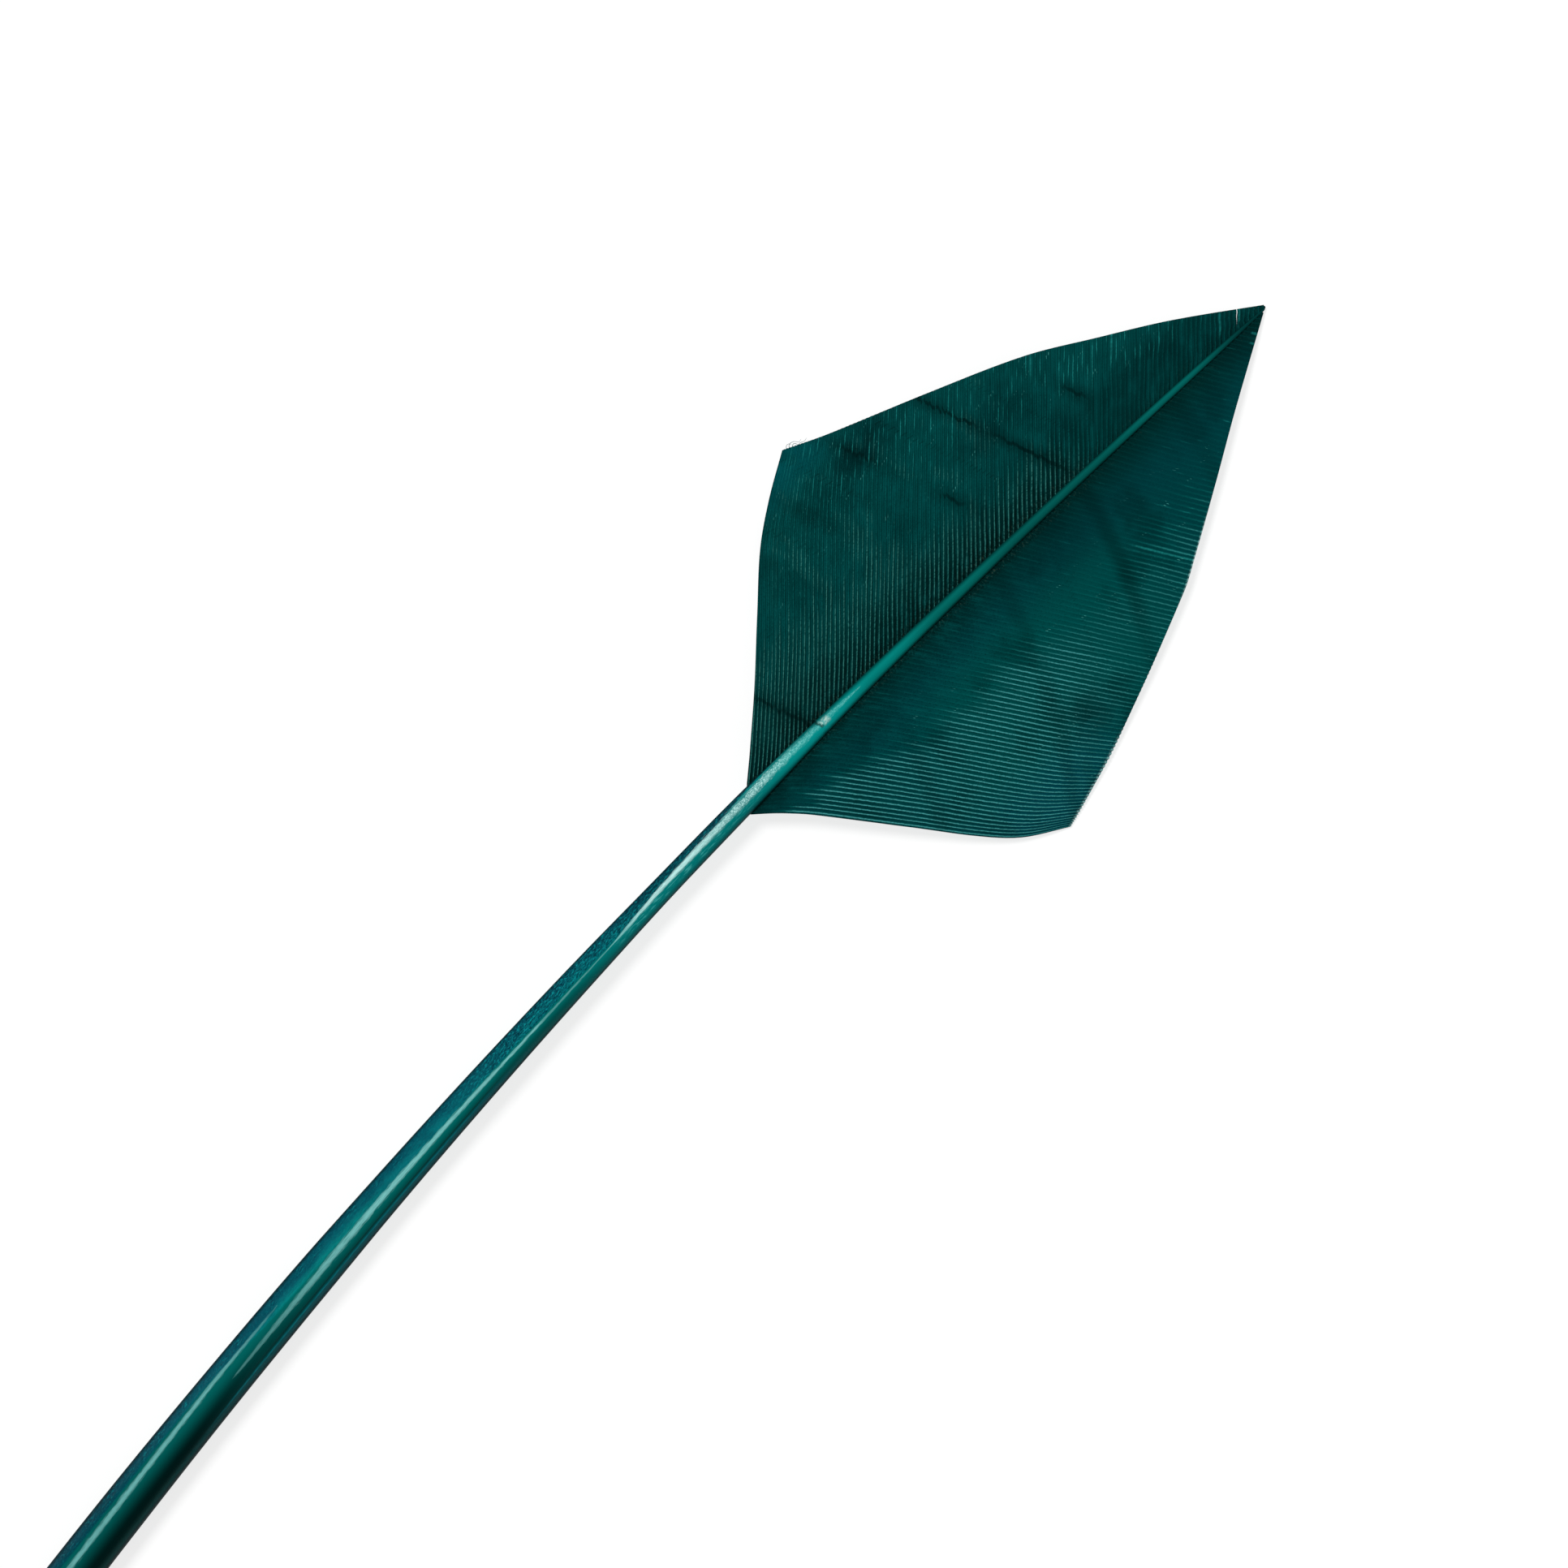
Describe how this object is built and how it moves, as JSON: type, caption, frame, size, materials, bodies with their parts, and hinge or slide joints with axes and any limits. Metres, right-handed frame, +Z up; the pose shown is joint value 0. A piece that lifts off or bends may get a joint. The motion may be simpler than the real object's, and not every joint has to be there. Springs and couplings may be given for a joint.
{
  "type": "feather",
  "caption": "Dyed teal turkey wing feather with a long stripped quill and vanes trimmed to an arrowhead, lying flat.",
  "frame": {"origin": "under the middle of the feather's bounding box, on the surface it lies on", "axes": "+Y from the quill end to the tip, +X to the feather's right, +Z up"},
  "size_m": [0.058, 0.2782, 0.0062],
  "materials": {
    "dyed_quill": "satin dyed keratin",
    "dyed_vane": "fine ribbed, soft sheen"
  },
  "bodies": {
    "root": {"shaft": "dyed_quill", "left_vane": "dyed_vane", "right_vane": "dyed_vane"}
  },
  "joints": []
}
